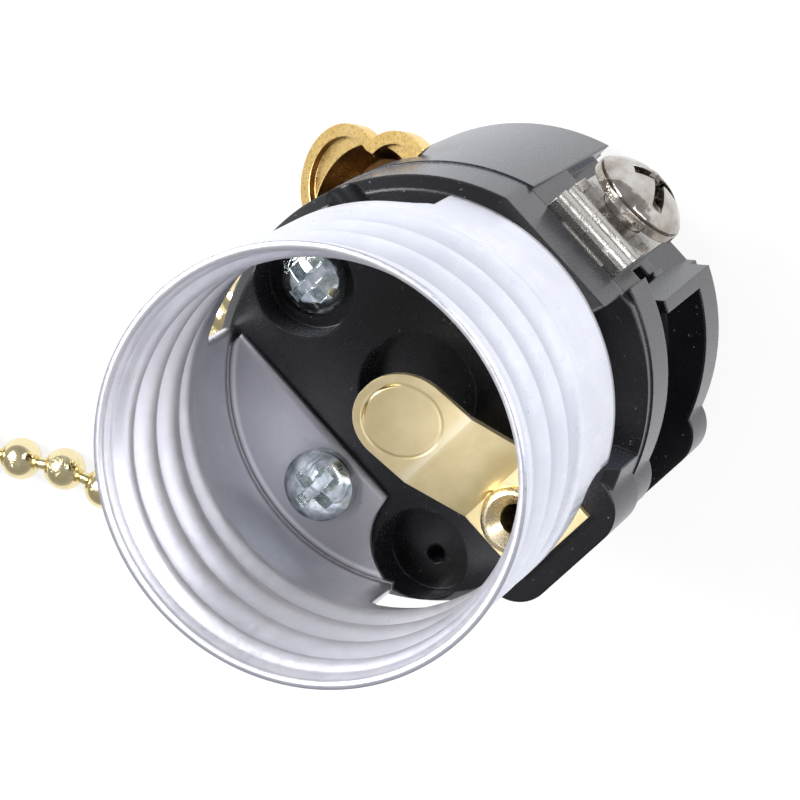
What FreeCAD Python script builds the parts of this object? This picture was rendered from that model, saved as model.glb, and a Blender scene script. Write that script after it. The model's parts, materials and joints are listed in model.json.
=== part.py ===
"""Pull-chain lamp socket interior: an aluminium screw shell on a two-part black moulded body.

Millimetres. The origin is the centre of the rear face, +Z runs along the socket's axis towards
the lamp, +X points at the neutral terminal and +Y at the chain guide.
"""
import FreeCAD, Part
import math
import os

os.makedirs("parts", exist_ok=True)
V = FreeCAD.Vector

# Stations along the socket's axis
rear_body_length = 20.0
front_body_thickness = 5.6
shell_length = 20.4
parting_z = rear_body_length
face_z = parting_z + front_body_thickness
rim_z = face_z + shell_length

# Moulded body
front_body_radius = 14.3
parting_lip = 0.1
rear_body_radius = front_body_radius + parting_lip
rear_taper = 0.4
terminal_flat_x = 13.3
front_edge_chamfer = 0.8
flat_edge_bevel = 0.9
flat_low_y = -4.2
flat_high_y = 4.9
rear_step_z = 1.4
rear_step_radius = 12.8
rib_thickness = 4.0
rear_flange_thickness = 5.2
front_floor = 0.9
pocket_inner_radius = 11.3
front_pocket_radius = 10.4
pocket_start_deg = -97.0
pocket_end_deg = -29.0
far_pocket_start_deg = 209.0
far_pocket_end_deg = 252.0
front_pocket_start_deg = -62.0
front_pocket_end_deg = -17.5
arm_gap = 2.0
arm_gap_end_deg = -14.0
cutback_x = 11.3
cutback_y = -4.6
cutback_length = 7.8
tongue_half_width = 5.4
tongue_low_y = -15.2
tongue_corner = 2.5
rear_tongue_inset = 0.3
groove_x = 5.4
groove_y = 10.4
groove_radius = 1.2
cavity_half_x = 8.2
cavity_floor_z = parting_z - 18.0
cavity_radius = 11.8
cavity_low_y = -6.2
cavity_high_y = 10.7
contact_pocket_radius = 4.0
contact_pocket_depth = 2.5
spare_recess_x = -7.6
spare_recess_y = -8.0
spare_recess_radius = 3.2
spare_recess_depth = 3.2
spare_hole_radius = 0.6
spare_hole_shift = 0.5

# Aluminium screw shell
sheet = 0.5
lip_radius = 13.9
lip_height = 1.4
skirt_radius = 13.6
thread_depth = 0.75
thread_pitch = 3.63
thread_turns = 2.8
thread_start_z = 7.8
thread_start_deg = 186.0
groove_half_width = 1.25
groove_half_floor = 0.25
rib_half_width = 1.5
rib_half_crest = 0.5
window_depth = 4.6
flange_chord_x = -6.4
flange_low_y = -8.36
scallop_x = -6.5
scallop_y = -7.9
scallop_radius = 4.1
window_a_start_deg = 33.0
window_a_end_deg = 120.0
window_b_start_deg = 218.3
window_b_end_deg = 301.0

# Centre contact and the rivet that holds it
contact_thickness = 0.5
contact_width = 6.4
contact_x = 0.1
contact_tail_y = -13.5
contact_bend_y = -8.0
contact_crease_y = -3.8
contact_tip_y = 2.2
contact_crease_rise = 3.6
contact_tip_rise = 5.4
coin_radius = 2.5
coin_depth = 0.12
rivet_x = -0.66
rivet_y = -10.44
rivet_outer_radius = 1.55
rivet_bore_radius = 1.05
rivet_head_radius = 2.35
rivet_head_height = 0.6

# Screws
small_screw_radius = 1.2
small_head_radius = 2.4
small_head_height = 2.0
shell_screw_x = -(skirt_radius - sheet - 4.0)
shell_screw_y = -0.1
body_screw_x = -0.86
body_screw_y = 10.25
counterbore_radius = 3.5
counterbore_depth = 2.6
counterbore_floor_z = face_z - counterbore_depth
boss_height = 4.15
body_screw_end_z = parting_z - boss_height
boss_wall = 0.9
terminal_screw_radius = 1.7
terminal_head_radius = 3.5
terminal_head_height = 2.4
terminal_screw_length = 4.4
terminal_screw_y = 0.2
terminal_screw_z = parting_z - 8.4
wire_gap = 1.1
slot_depth = 0.9
slot_width = 0.9

# Terminal strips
strip = 0.7
terminal_low_y = -3.0
terminal_high_y = 3.4
terminal_end_z = terminal_screw_z - 3.0
plate_drop = 0.3
roll_radius = 0.75
roll_reach = 0.25
second_roll_drop = 3.2
ear_length = 2.0
ear_height = 1.5
strap_low_y = -1.9
strap_high_y = 1.9
strap_reach = 2.2
line_leg_z = parting_z - 7.0
line_leg_low_y = 2.8
line_leg_high_y = 5.2
finger_low_x = -5.2
finger_high_x = -2.8
finger_strip = 0.5
finger_end_z = parting_z - 14.8
load_step_y = -4.0
load_step_z = parting_z - 4.4

# Switch mechanism
shaft_radius = 1.0
shaft_half_length = 9.6
shaft_y = 4.43
shaft_z = parting_z - 11.15
running_clearance = 0.05
part_gap = 0.3
drum_low_x = 0.65
drum_high_x = 5.35
drum_flange = 0.5
drum_flange_radius = 5.6
pull_lean_deg = 15.0
pull_stroke = 6.5
ratchet_low_x = -0.8
ratchet_high_x = 0.35
ratchet_radius = 3.3
ratchet_teeth = 8
tooth_depth = 0.7
pawl_pin_radius = 0.5
pawl_pin_distance = 4.75
pawl_width = 1.0
rotor_low_x = -6.9
rotor_radius = 3.4
detent_low_x = -6.9
detent_high_x = -5.7
detent_half_side = 2.5
bridge_reach = 4.0
bridge_height = 3.2
bridge_margin = 0.2
spring_wire_radius = 0.28
spring_coil_radius = 2.0
spring_pitch = 0.64
spring_turns = 3
leaf_thickness = 0.4
leaf_gap = 0.5

# Bead chain
bead_radius = 1.6
bead_pitch = 3.7
link_radius = 0.5
wrap_radius = 4.2
chain_clearance = 0.35

# Chain guide: a lobed cup, its mouth's middle, its lean and its turn about the axis
guide_mouth = V(1.1, 11.5, parting_z - 4.2)
guide_lean_deg = 30.2
guide_swing_deg = 22.3
guide_depth = 4.5
guide_sheet = 0.45
guide_throat_radius = 2.1
guide_seat_y = 12.0
lobe_offset = 3.5
lobe_radius = 4.15
lobe_turn_deg = -23.9
lip_width = 0.9
lip_rise = 0.1
# Radius and height below the mouth, from the throat to the flare
guide_steps = [(2.1, 4.5), (2.9, 3.7), (3.4, 3.6), (4.2, 2.6), (4.7, 2.5), (5.3, 1.3), (5.5, 0.4)]
guide_reach = 9.0


def box(low, high):
    size = [b - a for a, b in zip(low, high)]
    return Part.makeBox(size[0], size[1], size[2], V(*low))


def disc(radius, low_z, high_z, x=0.0, y=0.0):
    return Part.makeCylinder(radius, high_z - low_z, V(x, y, low_z))


def rod_x(radius, low_x, high_x, y, z):
    return Part.makeCylinder(radius, high_x - low_x, V(low_x, y, z), V(1, 0, 0))


def prism(points, push):
    """A closed polygon through the points, extruded along push."""
    wire = Part.makePolygon(list(points) + [points[0]])
    return Part.Face(wire).extrude(push)


def sector(start_deg, end_deg, inner, outer, low_z, high_z):
    """A ring sector between two radii and two angles."""
    ring = disc(outer, low_z, high_z)
    if inner > 0:
        ring = ring.cut(disc(inner, low_z, high_z))
    steps = 6
    far = 2.0 * outer
    points = [V(0, 0, low_z)]
    for i in range(steps + 1):
        a = math.radians(start_deg + (end_deg - start_deg) * i / steps)
        points.append(V(far * math.cos(a), far * math.sin(a), low_z))
    return ring.common(prism(points, V(0, 0, high_z - low_z)))


def export(shape, name):
    if len(shape.Solids) == 1:
        shape = shape.removeSplitter()
    shape.exportStep("parts/%s.step" % name)
    print(name, "solids", len(shape.Solids), "volume", round(shape.Volume, 2), shape.isValid())
    return shape


def strip_along(points, thickness, low, high, plane):
    """A bent strip: its centre line in the xz or yz plane, its width from low to high."""
    half = thickness / 2.0
    left = []
    right = []
    for i, (a, b) in enumerate(points):
        before = points[max(i - 1, 0)]
        after = points[min(i + 1, len(points) - 1)]
        here = (a, b)
        normals = []
        for p, q in ((before, here), (here, after)):
            length = math.hypot(q[0] - p[0], q[1] - p[1])
            if length > 1e-9:
                normals.append(((p[1] - q[1]) / length, (q[0] - p[0]) / length))
        n = (sum(v[0] for v in normals), sum(v[1] for v in normals))
        scale = half / ((n[0] * normals[0][0] + n[1] * normals[0][1]) or 1.0)
        left.append((a + n[0] * scale, b + n[1] * scale))
        right.append((a - n[0] * scale, b - n[1] * scale))
    outline = left + right[::-1]
    if plane == "xz":
        return prism([V(a, low, b) for a, b in outline], V(0, high - low, 0))
    return prism([V(low, a, b) for a, b in outline], V(high - low, 0, 0))


def cross_cutter(width, reach, top_z, depth):
    """The cross recess of a small screw, centred on the axis."""
    half = width / 2.0
    first = box((-reach, -half, top_z - depth), (reach, half, top_z + 1.0))
    second = box((-half, -reach, top_z - depth), (half, reach, top_z + 1.0))
    return first.fuse(second)


def pan_head(radius, height, base_z):
    """A pan head: a short cylinder under a shallow dome."""
    blank = disc(radius, base_z, base_z + height)
    dome_radius = 1.35 * radius
    centre_z = base_z + height - dome_radius
    return blank.common(Part.makeSphere(dome_radius, V(0, 0, centre_z)))


def small_screw(x, y, seat_z, end_z):
    """A zinc-plated pan-head screw with a cross recess; its head sits on seat_z."""
    screw = pan_head(small_head_radius, small_head_height, seat_z)
    screw = screw.fuse(disc(small_screw_radius, end_z, seat_z))
    cutter = cross_cutter(0.8, 1.5, seat_z + small_head_height, 1.1)
    screw = screw.cut(cutter)
    screw.translate(V(x, y, 0))
    return screw


# Directions of the chain and places worked out from the mechanism
lean = math.radians(pull_lean_deg)
pull_dir = V(0, math.cos(lean), math.sin(lean))
wrap_dir = V(0, -math.sin(lean), math.cos(lean))
drum_mid_x = (drum_low_x + drum_high_x) / 2.0
drum_centre = V(drum_mid_x, shaft_y, shaft_z)
tangent_point = drum_centre + wrap_dir * wrap_radius
envelope_radius = wrap_radius + bead_radius + chain_clearance


def along_pull(distance):
    return tangent_point + pull_dir * distance


# The beads between the drum and the guide, and the free chain's beads: through the guide,
# out along the body's side and down to the floor
floor_z = bead_radius
inner_points = [along_pull(0.5 * bead_pitch), along_pull(1.5 * bead_pitch)]
chain_points = [
    V(2.0, 11.94, parting_z - 7.15),
    V(-1.6, 12.35, parting_z - 7.9),
    V(-5.18, 12.85, parting_z - 8.66),
    V(-8.61, 13.6, parting_z - 9.85),
    V(-11.53, 14.45, parting_z - 11.95),
    V(-13.98, 15.0, 5.34),
    V(-16.75, 15.03, 2.89),
    V(-20.19, 14.23, 1.79),
    V(-23.67, 12.98, 1.62),
    V(-27.18, 11.8, floor_z),
    V(-30.85, 11.35, floor_z),
    V(-34.4, 12.4, floor_z),
    V(-35.9, 15.6, floor_z),
    V(-38.1, 18.5, floor_z),
    V(-40.4, 21.3, floor_z),
    V(-42.9, 24.0, floor_z),
    V(-45.7, 26.4, floor_z),
    V(-48.8, 28.3, floor_z),
]
side_dir = V(-1, 0, 0)
guided_bead_count = 4


def bead_tubes():
    """The room that the moving beads sweep between the drum and the outside."""
    room = []
    radius = bead_radius + chain_clearance
    travel = pull_stroke + chain_clearance
    moves = [(point, pull_dir) for point in inner_points]
    moves += [(point, side_dir) for point in chain_points[:guided_bead_count]]
    for point, direction in moves:
        room.append(Part.makeCylinder(radius, travel, point, direction))
        room.append(Part.makeSphere(radius, point))
        room.append(Part.makeSphere(radius, point + direction * travel))
    return room[0].multiFuse(room[1:])


def side_slot():
    """The open slot in the moulding through which the guided beads leave it."""
    radius = bead_radius + chain_clearance
    slots = []
    for i in range(guided_bead_count - 1):
        here = chain_points[i]
        after = chain_points[i + 1]
        slots.append(box((after.x, after.y - radius, after.z - radius),
                         (here.x, rear_body_radius + 1, here.z + radius)))
    return slots[0].multiFuse(slots[1:])


def revolved(points):
    """A solid of revolution about the z axis from (radius, height) points."""
    corners = [V(r, 0, h) for r, h in points]
    return Part.Face(Part.makePolygon(corners + [corners[0]])).revolve(V(0, 0, 0), V(0, 0, 1), 360)


def lobes(radius, low, high):
    """Four overlapping round lobes about the z axis."""
    shapes = []
    for i in range(4):
        a = math.radians(lobe_turn_deg + 90.0 * i)
        shapes.append(disc(radius, low, high, lobe_offset * math.cos(a),
                           lobe_offset * math.sin(a)))
    return shapes[0].multiFuse(shapes[1:])


def place_guide(shape):
    """Move a shape from the guide's own axes to its mouth and keep the part outside the seat."""
    swing = FreeCAD.Rotation(V(0, 0, 1), guide_swing_deg)
    lean_back = FreeCAD.Rotation(V(1, 0, 0), -guide_lean_deg)
    turned = shape.copy()
    turned.Placement = FreeCAD.Placement(guide_mouth, swing.multiply(lean_back))
    reach = 2.0 * rear_body_radius
    return turned.common(box((-reach, guide_seat_y, 0), (reach, reach, rim_z)))


def guide_room():
    """The guide's whole outside, filled: the room that it takes in the moulding."""
    outside = [(r + guide_sheet, -h) for r, h in guide_steps]
    outside[-1] = (guide_steps[-1][0] + guide_sheet, -guide_steps[-1][1] - guide_sheet)
    rim = [(guide_reach, -guide_steps[-1][1] - guide_sheet), (guide_reach, lip_rise), (0, lip_rise)]
    blank = revolved([(0, -guide_depth)] + outside + rim)
    return blank.common(lobes(lobe_radius, -guide_depth - 1, lip_rise + 1))


def make_guide():
    """The stamped brass guide: the outer half of a stepped cup with a lobed, raised lip."""
    inside = [(r, -h) for r, h in guide_steps]
    inside += [(guide_reach, -guide_steps[-1][1]), (guide_reach, 2), (0, 2)]
    hollow = revolved([(0, -guide_depth - 1), (guide_throat_radius, -guide_depth - 1)] + inside)
    hollow = hollow.common(lobes(lobe_radius - lip_width, -guide_depth - 1, 2))
    cup = place_guide(guide_room().cut(hollow))
    pieces = cup.cut(bead_tubes()).Solids
    return max(pieces, key=lambda piece: piece.Volume)


def thread_pipe(points):
    """A ridge or groove along the shell's thread, from (radius, height) points."""
    helix = Part.makeHelix(thread_pitch, thread_turns * thread_pitch, skirt_radius)
    corners = [V(r, 0, h) for r, h in points]
    profile = Part.makePolygon(corners + [corners[0]])
    pipe = Part.Wire(helix.Edges).makePipeShell([profile], True, True)
    pipe.rotate(V(0, 0, 0), V(0, 0, 1), thread_start_deg)
    pipe.translate(V(0, 0, face_z + thread_start_z))
    return pipe


def make_shell():
    """Sheet shell: rolled lip, helical rolled thread, plain skirt and the flange at its foot."""
    top = rim_z - lip_height
    outer = [(skirt_radius, face_z + sheet), (skirt_radius, top), (lip_radius, top + 0.6),
             (lip_radius, rim_z)]
    inner = [(r - sheet, h) for r, h in outer]
    wall = revolved(outer + inner[::-1])
    bore = skirt_radius - sheet
    crest = bore - thread_depth
    rib = thread_pipe([(bore + 0.1, -rib_half_width), (crest, -rib_half_crest),
                       (crest, rib_half_crest), (bore + 0.1, rib_half_width)])
    floor = skirt_radius - thread_depth
    over = skirt_radius + 0.3
    groove = thread_pipe([(over, -groove_half_width), (floor, -groove_half_floor),
                          (floor, groove_half_floor), (over, groove_half_width)])
    wall = wall.fuse(rib).cut(groove)
    low = face_z - 1.0
    high = face_z + sheet + window_depth
    for start, end in ((window_a_start_deg, window_a_end_deg),
                       (window_b_start_deg, window_b_end_deg)):
        wall = wall.cut(sector(start, end, lip_radius - 3.0, lip_radius + 1.0, low, high))
    flange = disc(skirt_radius, face_z, face_z + sheet)
    flange = flange.common(box((-20, flange_low_y, face_z - 1), (flange_chord_x, 20, face_z + 1)))
    flange = flange.cut(disc(scallop_radius, face_z - 1, face_z + 1, scallop_x, scallop_y))
    hole = disc(small_screw_radius + running_clearance, face_z - 1, face_z + 1,
                shell_screw_x, shell_screw_y)
    return wall.fuse(flange).cut(hole)


def tongue(low_y, low_z, high_z):
    """The moulding's bulge under the contact's tail, with rounded corners."""
    half = tongue_half_width
    inner = half - tongue_corner
    block = box((-half, low_y + tongue_corner, low_z), (half, contact_bend_y, high_z))
    block = block.fuse(box((-inner, low_y, low_z), (inner, contact_bend_y, high_z)))
    for x in (-inner, inner):
        block = block.fuse(disc(tongue_corner, low_z, high_z, x, low_y + tongue_corner))
    return block


def make_front_body():
    """The front moulding: a thick disc with flats, counterbores and the contact's pocket."""
    body = disc(front_body_radius, parting_z, face_z)
    edge = Part.makeCone(front_body_radius + front_body_thickness - front_edge_chamfer,
                         front_body_radius - front_edge_chamfer,
                         front_body_thickness, V(0, 0, parting_z))
    body = body.common(edge)
    body = body.cut(sector(front_pocket_start_deg, front_pocket_end_deg, front_pocket_radius,
                           20, parting_z + front_floor, face_z + 1))
    body = body.fuse(tongue(tongue_low_y, parting_z, face_z))
    flats = box((-terminal_flat_x, -20, parting_z), (terminal_flat_x, 20, face_z))
    body = body.common(flats)
    bevel = terminal_flat_x - flat_edge_bevel
    chamfer = prism([V(bevel, -20, face_z), V(terminal_flat_x + 1, -20, face_z),
                     V(terminal_flat_x + 1, -20, face_z - 1 - flat_edge_bevel)], V(0, 40, 0))
    body = body.cut(chamfer)
    body = body.cut(disc(contact_pocket_radius, face_z - contact_pocket_depth, face_z + 1))
    body = body.cut(disc(spare_recess_radius, face_z - spare_recess_depth, face_z + 1,
                         spare_recess_x, spare_recess_y))
    body = body.cut(disc(spare_hole_radius, parting_z - 1, face_z,
                         spare_recess_x - spare_hole_shift, spare_recess_y - spare_hole_shift))
    body = body.cut(disc(counterbore_radius, counterbore_floor_z, face_z + 1,
                         body_screw_x, body_screw_y))
    fit = small_screw_radius
    body = body.cut(disc(fit, parting_z - 1, face_z + 1, body_screw_x, body_screw_y))
    body = body.cut(disc(fit, parting_z - 1, face_z + 1, shell_screw_x, shell_screw_y))
    body = body.cut(disc(rivet_outer_radius, parting_z - 1, face_z + 1, rivet_x, rivet_y))
    groove = Part.makeCylinder(groove_radius, front_body_radius, V(groove_x, groove_y, face_z),
                               V(0, 1, 0))
    return body.cut(groove)


def rear_blank():
    """The outside of the rear moulding: a tapered round, its bulge and its stepped end."""
    body = Part.makeCone(rear_body_radius - rear_taper, rear_body_radius, parting_z)
    body = body.fuse(tongue(tongue_low_y + rear_tongue_inset, 0, parting_z))
    return body.cut(disc(20, 0, rear_step_z).cut(disc(rear_step_radius, 0, rear_step_z)))


def side_cuts(body):
    """The flats for the terminals, the cut-backs behind them and the side pockets."""
    arm_z = parting_z - rib_thickness - arm_gap
    for side in (1, -1):
        low = min(side * terminal_flat_x, side * 30)
        high = max(side * terminal_flat_x, side * 30)
        body = body.cut(box((low, flat_low_y, -1), (high, flat_high_y, parting_z + 1)))
        low = min(side * cutback_x, side * 30)
        high = max(side * cutback_x, side * 30)
        body = body.cut(box((low, cutback_y, -1), (high, flat_high_y, parting_z - cutback_length)))
        slant = prism([V(side * cutback_x, cutback_y, -1), V(side * 30, cutback_y, -1),
                       V(side * 30, cutback_y - 30 + cutback_x, -1)], V(0, 0, arm_z + 1))
        body = body.cut(slant)
    rib_z = parting_z - rib_thickness
    start = pocket_end_deg - 2
    body = body.cut(sector(start, arm_gap_end_deg, pocket_inner_radius, 20, arm_z, rib_z))
    body = body.cut(sector(180 - arm_gap_end_deg, 180 - start, pocket_inner_radius, 20,
                           arm_z, rib_z))
    body = body.cut(sector(pocket_start_deg, pocket_end_deg, pocket_inner_radius, 20,
                           rear_flange_thickness, rib_z))
    return body.cut(sector(far_pocket_start_deg, far_pocket_end_deg, pocket_inner_radius, 20,
                           rear_flange_thickness, rib_z))


def make_rear_body(guide):
    """The rear moulding: a cup for the switch with terminal recesses, ribs and pockets."""
    body = side_cuts(rear_blank())
    cavity = box((-cavity_half_x, cavity_low_y, cavity_floor_z),
                 (cavity_half_x, cavity_high_y, parting_z + 1))
    body = body.cut(cavity.common(disc(cavity_radius, 0, parting_z + 1)))
    boss_radius = small_screw_radius + boss_wall
    boss = disc(boss_radius, body_screw_end_z, parting_z, body_screw_x, body_screw_y)
    bridge = box((body_screw_x - boss_radius, body_screw_y, body_screw_end_z),
                 (body_screw_x + boss_radius, cavity_high_y + 0.6, parting_z))
    body = body.fuse(boss.fuse(bridge))
    body = body.cut(disc(small_screw_radius, body_screw_end_z - 1, parting_z + 1,
                         body_screw_x, body_screw_y))
    half_length = shaft_half_length + 0.1
    half_width = shaft_radius + running_clearance
    slot = box((-half_length, shaft_y - half_width, shaft_z),
               (half_length, shaft_y + half_width, parting_z + 1))
    seat = rod_x(half_width, -half_length, half_length, shaft_y, shaft_z)
    body = body.cut(slot).cut(seat)
    strap = box((shell_screw_x - strap_reach, strap_low_y, parting_z - strip),
                (20, strap_high_y, parting_z + 1))
    body = body.cut(strap)
    body = body.cut(disc(small_screw_radius + 0.2, parting_z - 2.6, parting_z,
                         shell_screw_x, shell_screw_y))
    leg = box((-20, line_leg_low_y, line_leg_z), (-cavity_half_x + 1, line_leg_high_y,
                                                  line_leg_z + strip))
    body = body.cut(leg)
    plate = box((rivet_x - 3.2, contact_tail_y - 0.2, parting_z - finger_strip),
                (rivet_x + 3.2, load_step_y, parting_z + 1))
    body = body.cut(plate)
    body = body.cut(box((finger_low_x - 0.2, load_step_y - 2.4, load_step_z),
                        (rivet_x, load_step_y + 0.5, parting_z + 1)))
    body = body.cut(disc(rivet_head_radius, parting_z - 2.2, parting_z, rivet_x, rivet_y))
    bore_start = 8.7
    for side in (1, -1):
        body = body.cut(rod_x(terminal_screw_radius + part_gap, min(side * bore_start, side * 20),
                              max(side * bore_start, side * 20), terminal_screw_y,
                              terminal_screw_z))
    body = body.cut(bead_tubes().fuse(side_slot()))
    room = place_guide(guide_room())
    return max(body.cut(room).Solids, key=lambda piece: piece.Volume).cut(guide)


def make_contact():
    """The centre contact: one brass strip with a raised round tip and a coined circle."""
    base = face_z + contact_thickness / 2.0
    line = [(contact_tail_y, base), (contact_bend_y, base),
            (contact_crease_y, base + contact_crease_rise), (contact_tip_y, base + contact_tip_rise)]
    low = contact_x - contact_width / 2.0
    high = contact_x + contact_width / 2.0
    contact = strip_along(line, contact_thickness, low, high, "yz")
    tip_centre_y = contact_tip_y - contact_width / 2.0
    plan = disc(contact_width / 2.0, face_z - 1, rim_z, contact_x, tip_centre_y)
    plan = plan.fuse(box((low, contact_tail_y - 1, face_z - 1), (high, tip_centre_y, rim_z)))
    contact = contact.common(plan)
    ring = Part.makeTorus(coin_radius, coin_depth)
    ring.translate(V(contact_x, tip_centre_y, base + contact_tip_rise - 0.1
                     + contact_thickness / 2.0 - 0.25))
    contact = contact.cut(ring)
    return contact.cut(disc(rivet_outer_radius, face_z - 1, rim_z, rivet_x, rivet_y))


def make_rivet():
    """The hollow rivet through the contact, the front body and the load strip."""
    head_z = face_z + contact_thickness
    foot_z = parting_z - finger_strip
    rivet = disc(rivet_outer_radius, foot_z - rivet_head_height, head_z + rivet_head_height)
    top = Part.makeTorus(rivet_head_radius - rivet_head_height, rivet_head_height)
    top.translate(V(0, 0, head_z))
    top = top.common(disc(10, head_z, head_z + 5))
    inner = disc(rivet_head_radius - rivet_head_height, head_z, head_z + rivet_head_height)
    foot = disc(rivet_head_radius - 0.3, foot_z - rivet_head_height, foot_z)
    rivet = rivet.multiFuse([top, inner, foot])
    rivet = rivet.cut(disc(rivet_bore_radius, foot_z - 3, head_z + 3))
    mouth = Part.makeCone(rivet_bore_radius, rivet_bore_radius + 0.8, 0.8,
                          V(0, 0, head_z + rivet_head_height - 0.8))
    rivet = rivet.cut(mouth)
    rivet.translate(V(rivet_x, rivet_y, 0))
    return rivet


def make_neutral_terminal():
    """The nickel-plated strip: shell screw at one end, bent over the flat to the terminal."""
    mid_z = parting_z - strip / 2.0
    mid_x = terminal_flat_x + strip / 2.0
    flat = box((shell_screw_x - strap_reach + 0.2, strap_low_y, parting_z - strip),
               (terminal_flat_x, strap_high_y, parting_z))
    plate = box((terminal_flat_x, terminal_low_y, terminal_end_z),
                (terminal_flat_x + strip, terminal_high_y, parting_z - plate_drop))
    rolls = []
    for z in (parting_z - plate_drop - roll_radius, parting_z - second_roll_drop):
        roll = Part.makeCylinder(roll_radius, terminal_high_y - terminal_low_y,
                                 V(mid_x + roll_reach, terminal_low_y, z), V(0, 1, 0))
        rolls.append(roll.common(box((terminal_flat_x, -20, 0), (20, 20, parting_z))))
    ears = []
    ear_z = parting_z - second_roll_drop - ear_length
    for y in (terminal_low_y, terminal_high_y - strip):
        ears.append(box((terminal_flat_x, y, ear_z),
                        (terminal_flat_x + ear_height, y + strip, ear_z + ear_length)))
    part = flat.multiFuse([plate] + rolls + ears)
    part = part.cut(rod_x(terminal_screw_radius + running_clearance, 10, 20,
                          terminal_screw_y, terminal_screw_z))
    return part.cut(disc(small_screw_radius, mid_z - 2, mid_z + 2, shell_screw_x, shell_screw_y))


def make_line_terminal():
    """The brass strip of the other terminal, with the spring finger that feeds the rotor."""
    x = -terminal_flat_x
    plate = box((x - strip, terminal_low_y, terminal_end_z), (x, line_leg_high_y - 0.5,
                                                              parting_z - 1.2))
    leg = box((x - strip, line_leg_low_y, line_leg_z), (finger_high_x, line_leg_high_y - 0.5,
                                                        line_leg_z + strip))
    finger_y = shaft_y + bridge_reach + part_gap
    tab = box((finger_low_x, line_leg_low_y, line_leg_z),
              (finger_high_x, finger_y + finger_strip, line_leg_z + strip))
    finger = box((finger_low_x, finger_y, finger_end_z),
                 (finger_high_x, finger_y + finger_strip, line_leg_z + strip))
    part = plate.multiFuse([leg, tab, finger])
    return part.cut(rod_x(terminal_screw_radius + running_clearance, -20, -10,
                          terminal_screw_y, terminal_screw_z))


def make_load_contact():
    """The strip under the rivet that carries the switched line to the centre contact."""
    top = parting_z - finger_strip / 2.0
    finger_y = shaft_y - bridge_reach - part_gap - finger_strip / 2.0
    line = [(load_step_y - 1.0, top), (load_step_y, top), (load_step_y, load_step_z + 0.3),
            (finger_y, load_step_z + 0.3), (finger_y, finger_end_z)]
    spring = strip_along(line, finger_strip, finger_low_x, finger_high_x, "yz")
    plate = box((rivet_x - 3.0, contact_tail_y + 0.6, parting_z - finger_strip),
                (rivet_x + 3.0, load_step_y - 0.9, parting_z))
    link = box((finger_low_x, load_step_y - 2.0, parting_z - finger_strip),
               (rivet_x, load_step_y - 0.9, parting_z))
    plate = plate.common(disc(rear_body_radius - 0.4, 0, 30))
    part = spring.multiFuse([plate, link])
    return part.cut(disc(rivet_outer_radius, 0, 30, rivet_x, rivet_y))


def make_terminal_screw(side):
    """A plated pan-head terminal screw with a cross and a slot, a wire's gap off the plate."""
    head_z = 0.0
    head = pan_head(terminal_head_radius, terminal_head_height, head_z)
    collar = disc(terminal_head_radius + 0.1, head_z, head_z + 0.6)
    groove = disc(terminal_head_radius + 1, head_z + 0.6, head_z + 0.8)
    groove = groove.cut(disc(terminal_head_radius - 0.35, head_z, head_z + 1))
    screw = head.fuse(collar).cut(groove)
    screw = screw.fuse(disc(terminal_screw_radius, -terminal_screw_length, 0))
    screw = screw.cut(cross_cutter(slot_width, 1.9, terminal_head_height, slot_depth + 0.5))
    slot = box((-8, -slot_width / 2, terminal_head_height - slot_depth),
               (8, slot_width / 2, terminal_head_height + 2))
    screw = screw.cut(slot)
    screw.rotate(V(0, 0, 0), V(0, 0, 1), 35)
    screw.rotate(V(0, 0, 0), V(0, 1, 0), 90 * side)
    seat = terminal_flat_x + strip + wire_gap
    screw.translate(V(side * seat, terminal_screw_y, terminal_screw_z))
    return screw


def make_drum():
    """The chain drum: a hub between two flanges, with pockets for its beads and a pawl pin."""
    hub = wrap_radius - bead_radius - 0.05
    drum = rod_x(hub, drum_low_x, drum_high_x, shaft_y, shaft_z)
    left = rod_x(drum_flange_radius, drum_low_x, drum_low_x + drum_flange, shaft_y, shaft_z)
    right = rod_x(drum_flange_radius, drum_high_x - drum_flange, drum_high_x, shaft_y, shaft_z)
    pin_y, pin_z = pawl_pin_place()
    pin = rod_x(pawl_pin_radius, ratchet_low_x + 0.1, drum_low_x, pin_y, pin_z)
    drum = drum.multiFuse([left, right, pin])
    return drum.cut(rod_x(shaft_radius, drum_low_x - 1, drum_high_x + 1, shaft_y, shaft_z))


def pawl_pin_place():
    angle = math.radians(200.0)
    return (shaft_y + pawl_pin_distance * math.cos(angle),
            shaft_z + pawl_pin_distance * math.sin(angle))


def make_anchor_beads():
    """The beads held on the drum, with the pins between them."""
    step = bead_pitch / wrap_radius
    centres = []
    for i in range(3):
        a = -(i + 0.5) * step
        place = wrap_dir * (wrap_radius * math.cos(a)) + pull_dir * (wrap_radius * math.sin(a))
        centres.append(drum_centre + place)
    return Part.makeCompound(beads_at(centres).Solids + links_between(centres).Solids)


def make_ratchet():
    """The ratchet wheel that the pawl drives, one tooth face per eighth of a turn."""
    points = []
    for i in range(ratchet_teeth):
        a = 2 * math.pi * i / ratchet_teeth
        b = a + 2 * math.pi / ratchet_teeth
        for radius, angle in ((ratchet_radius - tooth_depth, a), (ratchet_radius, b)):
            points.append(V(ratchet_low_x, shaft_y + radius * math.cos(angle),
                            shaft_z + radius * math.sin(angle)))
    wheel = prism(points, V(ratchet_high_x - ratchet_low_x, 0, 0))
    return wheel.cut(rod_x(shaft_radius + running_clearance, -5, 5, shaft_y, shaft_z))


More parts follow.
